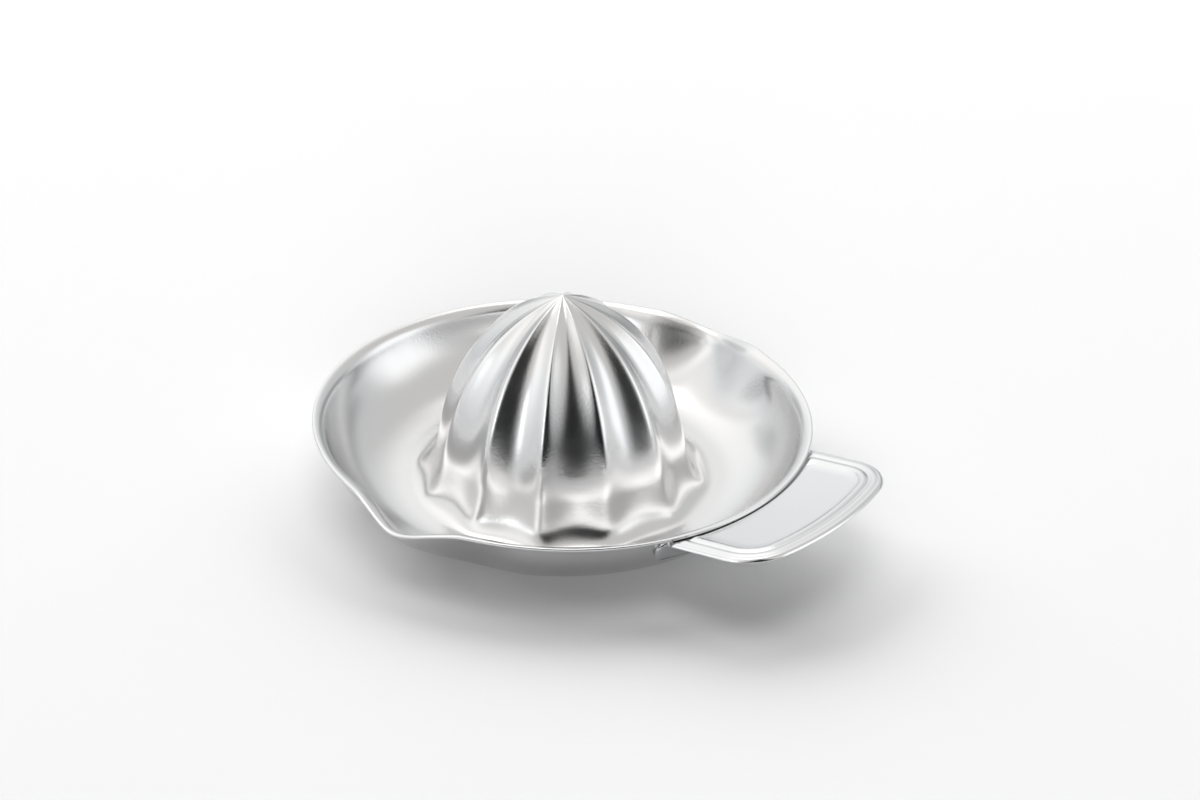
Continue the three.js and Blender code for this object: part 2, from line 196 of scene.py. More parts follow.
def closed_skin(name: str, rings: Floats, poles: Floats, wear_and_highlight: dict[WearAndHighlight, Floats]) -> Piece:
    """Make a smooth shaded skin of rings between two poles, at the origin.

    A pole takes the highest mark of the ring beside it.

    Args:
        name: Name of the object and its mesh.
        rings: Rings by points by three, in millimetres.
        poles: The first and the last point.
        wear_and_highlight: For each kind of mark, heat tint and polishing with its painted highlight, one
            number from 0 to 1 per point of the rings.

    Returns:
        The new piece, linked to the scene.
    """
    points = np.concatenate([poles[:1], rings.reshape(-1, 3), poles[1:]])
    mesh = bpy.data.meshes.new(name)
    mesh.from_pydata((points * MM).tolist(), [], skin_faces(*rings.shape[:2]))
    mesh.polygons.foreach_set("use_smooth", np.ones(len(mesh.polygons), dtype=bool))
    mesh.update()
    for kind, share in wear_and_highlight.items():
        layer = mesh.attributes.new(kind.value, "FLOAT", "POINT")
        values = np.concatenate([[share[0].max()], share.ravel(), [share[-1].max()]])
        layer.data.foreach_set("value", values.astype(np.float32))
    piece = bpy.data.objects.new(name, mesh)
    bpy.context.scene.collection.objects.link(piece)
    return piece


def feed(tree: Tree, slot: Socket, value: Socket | Sequence[float] | float) -> None:
    """Link a socket to a node's input, or write a plain value into the input.

    Args:
        tree: The nodes that the input belongs to.
        slot: The input.
        value: A socket, a number or a colour.
    """
    if isinstance(value, Socket):
        tree.links.new(value, slot)
    else:
        slot.default_value = value


def math_node(tree: Tree, operation: str, *values: Socket | float) -> Socket:
    """Make a math node and give it its values.

    Args:
        tree: Where the node goes.
        operation: What it works out.
        values: Sockets or plain numbers, in order.

    Returns:
        The node's result.
    """
    node = tree.nodes.new("ShaderNodeMath")
    node.operation = operation
    for slot, value in zip(node.inputs, values):
        feed(tree, slot, value)
    return node.outputs["Value"]


def remap(tree: Tree, value: Socket, source: Sequence[float],
          target: Sequence[Socket | float] = (0.0, 1.0), smooth: bool = False) -> Socket:
    """Carry a value from one span to another, held inside it.

    Args:
        tree: Where the node goes.
        value: The value.
        source: Start and end of the span that it comes from.
        target: Start and end of the span that it goes to.
        smooth: Whether it eases in and out instead of running straight.

    Returns:
        The value in the new span.
    """
    node = tree.nodes.new("ShaderNodeMapRange")
    node.interpolation_type = "SMOOTHSTEP" if smooth else "LINEAR"
    for slot, given in zip(node.inputs, (value, *source, *target)):
        feed(tree, slot, given)
    return node.outputs["Result"]


def blend(tree: Tree, share: Socket, first: Socket | Colour, second: Colour) -> Socket:
    """Mix two colours.

    Args:
        tree: Where the node goes.
        share: How much of the second colour there is.
        first: A colour, or a socket that gives one.
        second: A colour.

    Returns:
        The mixed colour.
    """
    node = tree.nodes.new("ShaderNodeMix")
    node.data_type = "RGBA"
    feed(tree, node.inputs["Factor"], share)
    feed(tree, node.inputs["A"], first if isinstance(first, Socket) else (*first, 1.0))
    feed(tree, node.inputs["B"], (*second, 1.0))
    return node.outputs["Result"]


@dataclass(frozen=True)
class Cloud:
    """A noise pattern in a piece's own coordinates.

    Attributes:
        scale: How fine it is, per metre.
        detail: How many finer layers it has.
    """

    scale: float
    detail: float

    def level(self, tree: Tree, place: Node) -> Socket:
        """Add the pattern to a material.

        Args:
            tree: The material's nodes.
            place: The node that gives the piece's own coordinates.

        Returns:
            The pattern's level.
        """
        cloud = tree.nodes.new("ShaderNodeTexNoise")
        cloud.inputs["Scale"].default_value = self.scale
        cloud.inputs["Detail"].default_value = self.detail
        tree.links.new(place.outputs["Object"], cloud.inputs["Vector"])
        return cloud.outputs["Fac"]


@dataclass(frozen=True)
class SatinSteel:
    """Satin polished stainless sheet.

    The colour drifts a little, the roughness comes in soft cloudy patches, a fine grain
    and slow pressing waves move the surface, and polished edges are smoother and carry a
    painted highlight that makes their colour brighter.

    Attributes:
        name: Name of the material.
        colour: Linear colour of the clean metal.
        roughness: Middle roughness of the satin.
        spread: How far the roughness wanders either way.
        grain: Height of the fine grain, in metres.
        waves: Height of the slow pressing waves, in metres.
        stain: Colour that heat tinted places go towards.
        drift_share: How far the colour drifts either way, as a share of itself.
        painted_highlight_gain: How many times brighter the painted highlight makes a polished edge.
        rubbed_share: Share of its roughness that a polished edge loses.
        patch_span: The part of a cloud's levels that the roughness follows.
        drift_cloud: Pattern of the colour.
        patch_cloud: Pattern of the roughness.
        wave_cloud: Pattern of the pressing waves.
        grain_cloud: Pattern of the grain.
    """

    name: str
    colour: Colour
    roughness: float = 0.21
    spread: float = 0.03
    grain: float = 0.00002
    waves: float = 0.00002
    stain: Colour = (0.42, 0.36, 0.28)
    drift_share: float = 0.015
    painted_highlight_gain: float = 1.08
    rubbed_share: float = 0.35
    patch_span: tuple[float, float] = (0.3, 0.7)
    drift_cloud: Cloud = Cloud(38.0, 3.0)
    patch_cloud: Cloud = Cloud(90.0, 5.0)
    wave_cloud: Cloud = Cloud(55.0, 1.0)
    grain_cloud: Cloud = Cloud(1500.0, 2.0)

    def material(self) -> bpy.types.Material:
        """Build the node material.

        Returns:
            The finished material.
        """
        steel = bpy.data.materials.new(self.name)
        steel.use_nodes = True
        tree = steel.node_tree
        shader = tree.nodes["Principled BSDF"]
        shader.inputs["Metallic"].default_value = 1.0
        place = tree.nodes.new("ShaderNodeTexCoord")
        tree.links.new(self._colour(tree, place), shader.inputs["Base Color"])
        tree.links.new(self._roughness(tree, place), shader.inputs["Roughness"])
        tree.links.new(self._relief(tree, place), shader.inputs["Normal"])
        return steel

    def _toned(self, gain: float) -> Colour:
        """The clean metal's colour times a gain, held at 1."""
        return tuple(min(1.0, channel * gain) for channel in self.colour)

    def _read_mark(self, tree: Tree, kind: WearAndHighlight) -> Socket:
        """Read one of the marks: the heat tint, and the polishing with its painted highlight.

        Args:
            tree: The material's nodes.
            kind: Which mark.

        Returns:
            How strongly the point is marked, from 0 to 1.
        """
        layer = tree.nodes.new("ShaderNodeAttribute")
        layer.attribute_name = kind.value
        return layer.outputs["Fac"]

    def _colour(self, tree: Tree, place: Node) -> Socket:
        """Clean colour with a faint drift, a painted highlight on the polished edges and heat tint.

        Args:
            tree: The material's nodes.
            place: The node that gives the piece's own coordinates.

        Returns:
            The colour.
        """
        low, high = self._toned(1.0 - self.drift_share), self._toned(1.0 + self.drift_share)
        clean = blend(tree, self.drift_cloud.level(tree, place), low, high)
        # Painted highlight: the polished edges are made brighter in the colour itself
        highlighted = blend(tree, self._read_mark(tree, WearAndHighlight.POLISH_AND_HIGHLIGHT), clean, self._toned(self.painted_highlight_gain))
        return blend(tree, self._read_mark(tree, WearAndHighlight.STAINED), highlighted, self.stain)

    def _roughness(self, tree: Tree, place: Node) -> Socket:
        """Cloudy satin roughness that falls on the polished edges.

        Args:
            tree: The material's nodes.
            place: The node that gives the piece's own coordinates.

        Returns:
            The roughness.
        """
        span = (self.roughness - self.spread, self.roughness + self.spread)
        patches = remap(tree, self.patch_cloud.level(tree, place), self.patch_span, span)
        fall = -self.rubbed_share * self.roughness
        return math_node(tree, "MULTIPLY_ADD", self._read_mark(tree, WearAndHighlight.POLISH_AND_HIGHLIGHT), fall, patches)

    def _relief(self, tree: Tree, place: Node) -> Socket:
        """Slow pressing waves under a fine grain.

        Args:
            tree: The material's nodes.
            place: The node that gives the piece's own coordinates.

        Returns:
            The moved normal.
        """
        slow, fine = (tree.nodes.new("ShaderNodeBump") for _ in range(2))
        layers = ((slow, self.wave_cloud, self.waves), (fine, self.grain_cloud, self.grain))
        for bump, cloud, height in layers:
            bump.inputs["Distance"].default_value = height
            tree.links.new(cloud.level(tree, place), bump.inputs["Height"])
        tree.links.new(slow.outputs["Normal"], fine.inputs["Normal"])
        return fine.outputs["Normal"]


def dress(piece: Piece, finish: SatinSteel, slot: str, *nodes: str) -> None:
    """Give a piece its finish and its place in the frame.

    Args:
        piece: The new piece.
        finish: What it is finished in.
        slot: The record's material slot. It is not used.
        nodes: CAD nodes that it stands for.
    """
    piece.data.materials.append(finish.material())
    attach(piece, "root")
    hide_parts(*nodes)


@dataclass
class Pressing:
    """The one-piece pressing: dish, lip, spouts and fluted reamer. Sizes in millimetres.

    A half section is given by radius and by height over the upper side of the floor.

    Attributes:
        axis_x: Where the upright axis of the dish stands along X.
        finish: What the dish is finished in.
        ovality: How far the rim is drawn out along X, and in along Y.
        valley_depth_share: Depth of a valley between two ridges, as a share of the radius.
        valley_fade_power: How late the valleys turn shallow on the way to the foot.
        round_fade_power: How late the ridges turn round on the way to the foot.
        under_tip_share: Least radius of the lower side, as a share of the upper side's.
    """

    axis_x: float = 0.0
    finish: SatinSteel = SatinSteel("satin_steel_dish", (0.66, 0.66, 0.665))
    sheet: float = 1.0

    # Rim, wall and floor
    rim_radius: float = 70.0
    rim_height: float = 19.8
    ovality: float = 1.2
    wall_slope: float = math.radians(72.0)
    wall_arc_radius: float = 21.5
    floor_width: float = 2.7
    lip_radius: float = 3.5
    rim_edge_bulge: float = 0.25

    # Spouts
    spout_reach: float = 3.6
    spout_dip: float = 3.6
    spout_half_width: float = 19.5
    spout_tip_round: float = 5.0
    spout_dip_power: float = 1.4
    spout_wall_start_share: float = 0.12
    spout_pinch: float = 2.4

    # Reamer
    flute_count: int = 12
    reamer_height: float = 58.0
    tip_reach: float = 8.1
    tip_drop: float = 3.2
    shoulder_radius: float = 29.9
    shoulder_height: float = 48.3
    waist_radius: float = 35.4
    foot_height: float = 12.0
    valley_depth_share: float = 0.14
    valley_foot_depth_share: float = 0.05
    valley_fade_power: int = 3
    ridge_round_share: float = 0.1
    toe_round_share: float = 0.3
    round_fade_power: int = 4
    under_tip_share: float = 0.3

    # Polish of the ridges and the lip's edge, with a painted highlight
    ridge_polish_and_highlight: float = 0.8
    ridge_polish_and_highlight_width_share: float = 0.12
    lip_polish_and_highlight_rows: int = 2

    # Rows and points of the skin
    around: int = 384
    dome_rows: int = 46
    foot_rows: int = 20
    floor_rows: int = 3
    arc_rows: int = 18
    wall_rows: int = 2
    lip_rows: int = 10
    edge_rows: int = 5

    @property
    def rise(self) -> float:
        """Height of the rim over the floor of the dish."""
        return self.rim_height - self.sheet

    @property
    def long_radius(self) -> float:
        """Radius of the oval rim along X."""
        return self.rim_radius + self.ovality

    @property
    def lip_edge(self) -> float:
        """Radius of the lip's outer edge along X."""
        return self.long_radius + self.rim_edge_bulge

    def flute_share(self, angle: Floats, round_share: Floats | float) -> Floats:
        """How far across a flute: 0 on the ridge, 1 at the bottom of the round valley.

        With d the distance from the nearest ridge, softened by the root of d squared plus
        the round share squared, the share is 1 minus the square of 1 minus d.

        Args:
            angle: Angles round the axis.
            round_share: How round the ridge is.

        Returns:
            The share at each angle.
        """
        turn = angle * self.flute_count / (2.0 * math.pi)
        distance = 2.0 * np.abs(turn - np.round(turn))
        soft = np.hypot(distance, round_share) - round_share
        full = np.hypot(1.0, round_share) - round_share
        return 1.0 - (1.0 - soft / full) ** 2

    def rim_shape(self, angle: Floats) -> tuple[Floats, Floats, Floats]:
        """Shape of the rim round the dish.

        The sides of a spout leave the round rim along its tangent, the tip is rounded, and
        the dip falls off with a power of the distance from the spout's axis.

        Args:
            angle: Angles round the axis.

        Returns:
            How far the rim is pushed out, how far it dips, and how far the wall is pinched.
        """
        from_spout = np.arcsin(np.abs(np.cos(angle)))
        tip = self.spout_tip_round / self.rim_radius
        soft = np.hypot(from_spout, tip)
        axis_radius = self.rim_radius - self.ovality
        tangent = tip + math.acos(axis_radius / (axis_radius + self.spout_reach))
        straight = axis_radius / np.cos(np.maximum(0.0, tangent - soft)) - axis_radius
        dip_share = np.maximum(0.0, 1.0 - soft * self.rim_radius / self.spout_half_width)
        full_share = 1.0 - self.spout_tip_round / self.spout_half_width
        flank = np.minimum(1.0, from_spout * self.rim_radius / (2.0 * self.spout_half_width))
        out = self.ovality * np.cos(2.0 * angle) + straight
        dip = self.spout_dip * (dip_share / full_share) ** self.spout_dip_power
        return out, dip, self.spout_pinch * np.sin(math.pi * flank) ** 2

    def wall_line(self) -> Floats:
        """Half section of the wall before the rim's own shape: arc, straight and lip.

        Returns:
            Rows of radius and height.
        """
        slope = self.wall_slope
        arc_rise = (self.wall_arc_radius + self.lip_radius) * (1.0 - math.cos(slope))
        straight = (self.rise - arc_rise) / math.sin(slope)
        run = (self.wall_arc_radius + self.lip_radius) * math.sin(slope) + straight * math.cos(slope)
        floor = self.rim_radius - run
        turn = np.linspace(0.0, slope, self.arc_rows + 1)
        arc = pairs(floor + self.wall_arc_radius * np.sin(turn), self.wall_arc_radius * (1.0 - np.cos(turn)))
        along = straight * steps(self.wall_rows)[:, None]
        wall = arc[-1] + along * np.array([math.cos(slope), math.sin(slope)])
        turn = np.linspace(slope, 0.0, self.lip_rows + 1)[1:]
        drop = self.lip_radius * (1.0 - np.cos(turn))
        lip = pairs(self.rim_radius - self.lip_radius * np.sin(turn), self.rise - drop)
        return np.concatenate([arc, wall, lip])

    def wall_rings(self, angle: Floats) -> Floats:
        """The wall at every angle, with the oval rim and the spouts worked in.

        The rim's shape eases in up the wall, and the pinch is a half sine over its height.

        Args:
            angle: Angles round the axis.

        Returns:
            Radius and height of each place up the wall at each angle.
        """
        out, dip, pinch = self.rim_shape(angle)
        line = self.wall_line()
        lift = line[:, 1:] / self.rise
        start = self.spout_wall_start_share
        share = smooth_step((lift - start) / (1.0 - start))
        radius = line[:, :1] + share * out - pinch * np.sin(math.pi * lift)
        return pairs(radius, line[:, 1:] - share * dip)

    def reamer_rings(self, angle: Floats) -> Floats:
        """The reamer at every angle, from below the tip to its foot on the floor.

        The ridge line is a cubic curve, pulled in by the valley's depth, and the foot is a
        quadratic curve from the waist through the corner to the flat of the floor.

        Args:
            angle: Angles round the axis.

        Returns:
            Radius and height of each place down the reamer at each angle.
        """
        share = steps(self.dome_rows)[:, None]
        ridge = bezier([
            (0.0, self.reamer_height),
            (self.tip_reach, self.reamer_height - self.tip_drop),
            (self.shoulder_radius, self.shoulder_height),
            (self.waist_radius, self.foot_height),
        ], share)
        round_share = mix(self.ridge_round_share, self.toe_round_share, share**self.round_fade_power)
        deepest = mix(self.valley_depth_share, self.valley_foot_depth_share, share**self.valley_fade_power)
        depth = deepest * self.flute_share(angle, round_share)
        dome = pairs(ridge[:, :1] * (1.0 - depth), ridge[:, 1:])
        waist = dome[-1, :, 0]
        lean = (self.waist_radius - self.shoulder_radius) / (self.shoulder_height - self.foot_height)
        toe = self.wall_line()[0, 0] - self.floor_width
        way = steps(self.foot_rows)[:, None]
        foot_radius = bezier([waist, waist + lean * self.foot_height, toe], way)
        return np.concatenate([dome, pairs(foot_radius, bezier([self.foot_height, 0.0, 0.0], way))])

    def upper_rings(self, angle: Floats) -> Floats:
        """Upper side of the whole pressing, from the tip of the reamer to the rim.

        Args:
            angle: Angles round the axis.

        Returns:
            Radius and height of each place of the half section at each angle.
        """
        reamer, wall = self.reamer_rings(angle), self.wall_rings(angle)
        way = steps(self.floor_rows + 1)[:-1, None]
        floor = pairs(mix(reamer[-1, :, 0], wall[0, :, 0], way), 0.0)
        return np.concatenate([reamer, floor, wall])

    def lower_rings(self, upper: Floats) -> Floats:
        """Lower side: the upper side moved by the sheet along the half section's normal.

        The direction of the section is the difference of its two neighbours, and the
        normal is that direction turned by a quarter. At the rim it points straight down.

        Args:
            upper: Radius and height of the upper side.

        Returns:
            Radius and height of the lower side.
        """
        pole = np.broadcast_to([0.0, self.reamer_height], (1, *upper.shape[1:]))
        full = np.concatenate([pole, upper, upper[-1:]])
        along = unit(full[2:] - full[:-2])
        along[-1] = [1.0, 0.0]
        lower = upper + self.sheet * quarter_turn(along)
        lower[..., 0] = np.maximum(lower[..., 0], self.under_tip_share * upper[..., 0])
        return lower

    def wall_outside(self, angle: Floats) -> Floats:
        """Outer face of the wall at every angle, from the floor to the rim.

        Args:
            angle: Angles round the axis.

        Returns:
            Radius and height over the table of each place up the wall at each angle.
        """
        count = self.arc_rows + self.wall_rows + self.lip_rows + 1
        return self.lower_rings(self.upper_rings(angle))[-count:] + np.array([0.0, self.sheet])

    def skin(self) -> Piece:
        """Make the skin of the pressing, with its polished places marked for a painted highlight.

        Returns:
            The new piece.
        """
        angle = np.linspace(0.0, 2.0 * math.pi, self.around, endpoint=False)
        upper = self.upper_rings(angle)
        lower = self.lower_rings(upper)
        edge = rounded_edge(upper[-1], lower[-1], np.array([1.0, 0.0]), self.rim_edge_bulge, self.edge_rows)
        rings = swing(np.concatenate([upper, edge, lower[::-1]]), angle)
        poles = np.array([[0.0, 0.0, self.reamer_height], [0.0, 0.0, self.reamer_height - self.sheet]])
        polish_and_highlight = self._polish_and_highlight(angle, len(upper), len(rings))
        seat = np.array([self.axis_x, 0.0, self.sheet])
        wear_and_highlight = {WearAndHighlight.POLISH_AND_HIGHLIGHT: polish_and_highlight, WearAndHighlight.STAINED: np.zeros_like(polish_and_highlight)}
        return closed_skin("pressing_skin", rings + seat, poles + seat, wear_and_highlight)

    def _polish_and_highlight(self, angle: Floats, upper: int, rings: int) -> Floats:
        """How much each point is polished and painted with a highlight: ridges of the reamer and the rim's
        edge.

        Across a ridge the polishing and its painted highlight fall as a bell curve.

        Args:
            angle: Angles round the axis.
            upper: Number of rings on the upper side.
            rings: Number of rings in all.

        Returns:
            One number from 0 to 1 per point.
        """
        across = self.flute_share(angle, self.ridge_round_share) / self.ridge_polish_and_highlight_width_share
        polish_and_highlight = np.zeros((rings, angle.size))
        # Painted highlight, with the polishing, along the reamer's ridges
        polish_and_highlight[:self.dome_rows] = self.ridge_polish_and_highlight * np.exp(-(across**2))
        # Painted highlight, with the polishing, round the rim's edge
        polish_and_highlight[upper - self.lip_polish_and_highlight_rows:upper + self.edge_rows + 1] = 1.0
        return polish_and_highlight

    def build(self) -> Piece:
        """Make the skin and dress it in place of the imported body.

        Returns:
            The dressed piece.
        """
        piece = self.skin()
        dress(piece, self.finish, "body_steel", "juicer_body")
        return piece


@dataclass(frozen=True)
class Bend:
    """The bend between panel and flange at some angles, as rows of radius and height.

    Attributes:
        start: Where it leaves the panel.
        corner: Where the lines of panel and wall meet.
        end: Where it reaches the flange.
        up: Unit direction up the wall.
        length: Length of the bent part.
    """

    start: Floats
    corner: Floats
    end: Floats
    up: Floats
    length: Floats


@dataclass
class HandlePressing:
    """The pressed handle: panel, two raised bands, rolled edge, bend and weld flange.

    The handle is laid out as a flat blank and folded. Sizes in millimetres, measured in
    the plane of the blank from the axis of the dish. Stations run round the edge of the
    panel. They are four columns of rows: the point on the panel's edge, the way out of the
    panel, how far the bands are stretched along it, and the end of that way on the blank's
    own edge, which is not a number where the edge is free.

    Attributes:
        dish: The pressing that the handle is welded to.
        finish: What the handle is finished in.
        seam_gap: Gap between the handle and the lip or wall that it lies under.
        band_sharpness: Power of the sine that a band rises by.
        band_fade: Way out from the lip over which the bands rise.
        seam_strip: Width of the strip of border that shows along the lip.
        bend_way_share: Share of the way down to the flange's edge with the closer rows.
        weld_mark_rim_share: Share of a weld mark's radius over which it gets deeper.
        weld_tint_width_share: Width of the ring of heat tint, as a share of that radius.
    """

    dish: Pressing
    finish: SatinSteel = SatinSteel("satin_steel_handle", (0.665, 0.67, 0.68))
    sheet: float = 1.0
    seam_gap: float = 0.1

    # Panel and border
    tilt: float = math.radians(9.6)
    length: float = 25.3
    half_width: float = 32.2
    inner_band_width: float = 3.2
    inner_band_height: float = 0.55
    outer_band_width: float = 3.9
    outer_band_height: float = 0.4
    band_sharpness: float = 1.3
    band_fade: float = 1.0
    seam_strip: float = 0.8
    roll_radius: float = 1.3
    roll_turn: float = math.radians(80.0)
    corner_radius: float = 7.2
    inner_corner_radius: float = 1.6
    neck_turn: float = math.radians(38.0)

    # Bend, flange and welds
    bend_radius: float = 1.8
    flange_height: float = 6.0
    tab_reach: float = 4.0
    tab_radius: float = 2.6
    edge_bulge: float = 0.15
    weld_count: int = 4
    weld_diameter: float = 4.0
    weld_mark_depth: float = 0.12
    weld_mark_rim_share: float = 0.5
    weld_spread_share: float = 0.72
    weld_depth_share: float = 0.5
    weld_tint: float = 0.45
    weld_tint_width_share: float = 0.35

    # Rows and stations of the skin
    panel_steps: int = 8
    band_steps: int = 14
    outer_steps: int = 5
    roll_steps: int = 9
    flange_steps: int = 4
    bend_way_share: float = 0.3
    edge_rows: int = 5
    # Rows at the free edge that are polished and carry a painted highlight
    polish_and_highlight_rows: int = 4
    arc_stations: int = 26
    corner_stations: int = 24
    side_stations: int = 14
    neck_stations: int = 8
    tab_stations: int = 9
    inner_stations: int = 80

    @property
    def reach(self) -> float:
        """Radius of the handle's outer edge."""
        return self.dish.long_radius + self.length

    @property
    def border(self) -> float:
        """Width of the two bands together."""
        return self.inner_band_width + self.outer_band_width

    @property
    def inner_radius(self) -> float:
        """Radius of the panel's inner edge, a narrow strip out from the lip."""
        return self.dish.lip_edge + self.seam_strip

    @property
    def groove_radius(self) -> float:
        """Radius of the line where the panel ends and the bend is about to start."""
        return float(self.bend(np.zeros(1)).start[0, 0]) + self.sheet / 2.0

    @property
    def panel_middle(self) -> Floats:
        """Middle of the panel in the blank."""
        return np.array([(self.inner_radius + self.reach - self.border) / 2.0, 0.0])

    def panel_height(self, radius: Floats) -> Floats:
        """Height of the panel over the table: a shallow cone that follows the rim."""
        rim = self.dish.rim_height - self.dish.sheet - self.seam_gap
        return rim + (radius - self.dish.long_radius) * math.tan(self.tilt)

    def bend(self, angle: Floats) -> Bend:
        """The bend between panel and flange at every angle.

        The line of the panel meets the line of the wall, moved out by the gap, in a
        corner. The bend leaves both lines at the tangent length of its radius.

        Args:
            angle: Angles round the dish.

        Returns:
            The bend.
        """
        wall = self.dish.wall_outside(angle)
        base = wall[self.dish.arc_rows]
        up = unit(wall[self.dish.arc_rows + self.dish.wall_rows] - base)
        base = base + quarter_turn(up) * self.seam_gap
        slope = math.tan(self.tilt)
        rise = base[:, 1] - self.panel_height(base[:, 0])
        corner = base + up * (rise / (slope * up[:, 0] - up[:, 1]))[:, None]
        outward = unit(np.array([1.0, slope]))
        turn = math.pi - np.arccos(np.clip(-(up @ outward), -1.0, 1.0))
        tangent = (self.bend_radius * np.tan(turn / 2.0))[:, None]
        return Bend(corner + outward * tangent, corner, corner - up * tangent, up, self.bend_radius * turn)

    def fold(self, blank: Floats) -> Floats:
        """Put points of the flat blank in their pressed places.

        Outside the bend a point keeps its plan and takes the cone's height. Past the start
        of the bend it runs along a quadratic curve, and then down the wall.

        Args:
            blank: Rows of x and y in the blank.

        Returns:
            Rows of x, y and z about the axis of the dish.
        """
        angle = np.arctan2(blank[:, 1], blank[:, 0])
        radius = np.hypot(blank[:, 0], blank[:, 1])
        bend = self.bend(angle)
        past = bend.start[:, 0] - radius
        share = np.clip(past / bend.length, 0.0, 1.0)[:, None]
        beyond = np.maximum(past - bend.length, 0.0)[:, None]
        bent = bezier([bend.start, bend.corner, bend.end], share) - bend.up * beyond
        flat = pairs(radius, self.panel_height(radius))
        return swing(np.where(past[:, None] > 0.0, bent, flat), angle)

    def _raised(self, blank: Floats, height: Floats | float) -> Floats:
        """Fold points of the blank and raise them off the cone of the panel.

        Args:
            blank: Rows of x and y in the blank.
            height: How far they are raised, as a column or one number.

        Returns:
            Rows of x, y and z about the axis of the dish.
        """
        angle = np.arctan2(blank[:, 1], blank[:, 0])
        up = swing(np.array([-math.sin(self.tilt), math.cos(self.tilt)]), angle)
        return self.fold(blank) + up * height

    def _on_blank(self, side: Floats, depth: Floats) -> Floats:
        """Points of the blank from arc length to the side and way past the bend's start."""
        angle = side / self.groove_radius
        return (self.bend(angle).start[:, :1] - depth[:, None]) * ray(angle)

    def _tab_edge(self) -> tuple[Floats, Floats]:
        """Rounded end of the flange: a quarter round at its top and one at its bottom.

        Returns:
            Arc length to the side, and way down the blank past the bend's start.
        """
        length = self.bend(np.array([math.asin(self.half_width / self.groove_radius)])).length[0]
        side = self.half_width + self.tab_reach - self.tab_radius
        top, bottom = length + self.tab_radius, length + self.flange_height - self.tab_radius
        quarter = np.linspace(0.0, math.pi / 2.0, self.tab_stations + 1)
        turn = np.concatenate([math.pi / 2.0 - quarter, -quarter])
        middle = np.repeat([top, bottom], quarter.size)
        return side + self.tab_radius * np.cos(turn), middle - self.tab_radius * np.sin(turn)

    def _inner_centre(self) -> Floats:
        """Middle of the panel's small inner corner."""
        side = self.half_width - self.border - self.inner_corner_radius
        return np.array([math.sqrt((self.inner_radius + self.inner_corner_radius) ** 2 - side**2), side])

    def _outer_half(self) -> Stations:
        """Stations on one half of the outer arc, on a corner and on a straight side.

        Returns:
            The stations, free and with bands at their full width.
        """
        half, reach = self.half_width - self.border, self.reach - self.border
        corner_side = half - self.corner_radius
        corner_x = math.sqrt((reach - self.corner_radius) ** 2 - corner_side**2)
        sweep = math.atan2(corner_side, corner_x)
        arc_out = ray(np.linspace(0.0, sweep, self.arc_stations + 1)[:-1])
        corner_out = ray(np.linspace(sweep, math.pi / 2.0, self.corner_stations + 1))
        corner = np.array([corner_x, corner_side]) + corner_out * self.corner_radius
        side = pairs(mix(corner_x, self._inner_centre()[0], steps(self.side_stations)), half)
        panel = np.concatenate([arc_out * reach, corner, side])
        out = np.concatenate([arc_out, corner_out, np.tile([0.0, 1.0], (len(side), 1))])
        return panel, out, np.ones((len(out), 1)), np.full(out.shape, np.nan)

    def _inner_half(self) -> Stations:
        """Stations on one neck, a small inner corner and half of the inner arc.

        At the neck the bands stretch to the handle's straight side, and along the lip they
        shrink to the strip that shows.

        Returns:
            The stations, free at the neck and welded past it.
        """
        centre = self._inner_centre()
        sweep = math.atan2(centre[1], centre[0])
        tab_side, tab_depth = self._tab_edge()
        start = math.pi / 2.0 + self.neck_turn
        neck = np.linspace(math.pi / 2.0, start, self.neck_stations + 1)[1:]
        around, along = steps(tab_side.size), steps(self.inner_stations)
        small_out = ray(np.concatenate([neck, mix(start, math.pi + sweep, around)]))
        small = centre + small_out * self.inner_corner_radius
        inner_out = -ray(sweep * (1.0 - along))
        wide = (self.half_width - small[:neck.size, 1]) / small_out[:neck.size, 1] / self.border
        narrow = (self.inner_radius - self.groove_radius) / self.inner_band_width
        stretch = np.concatenate([
            wide,
            mix(wide[-1], narrow, smooth_step(around)),
            np.full(along.size, narrow),
        ])
        edge = np.concatenate([
            np.full((neck.size, 2), np.nan),
            self._on_blank(tab_side, tab_depth),
            self._on_blank(tab_side[-1] * (1.0 - along), tab_depth[-1:]),
        ])
        panel = np.concatenate([small, -inner_out * self.inner_radius])
        return panel, np.concatenate([small_out, inner_out]), stretch[:, None], edge

    def stations(self) -> Stations:
        """Stations round the whole panel.

        One half runs from the middle of the outer arc to the middle of the inner arc. The
        other half is its mirror image.

        Returns:
            The stations.
        """
        halves = [np.concatenate(parts) for parts in zip(self._outer_half(), self._inner_half())]
        flip = np.array([1.0, -1.0])
        return tuple(np.concatenate([half, half[-2:0:-1] * flip[:half.shape[1]]]) for half in halves)

    def _band(self, share: Floats, start: float, width: float, height: float) -> Floats:
        """Half section of a raised band: a power of a sine, which leaves thin creases.

        Args:
            share: Places over the band's width, from 0 to 1.
            start: Distance out from the panel's edge where the band starts.
            width: Width of the band.
            height: Height of the band.

        Returns:
            Rows of distance out from the panel's edge and height over the panel.
        """
        swell = np.sin(math.pi * share).clip(0.0) ** self.band_sharpness
        return pairs(start + share * width, height * swell)

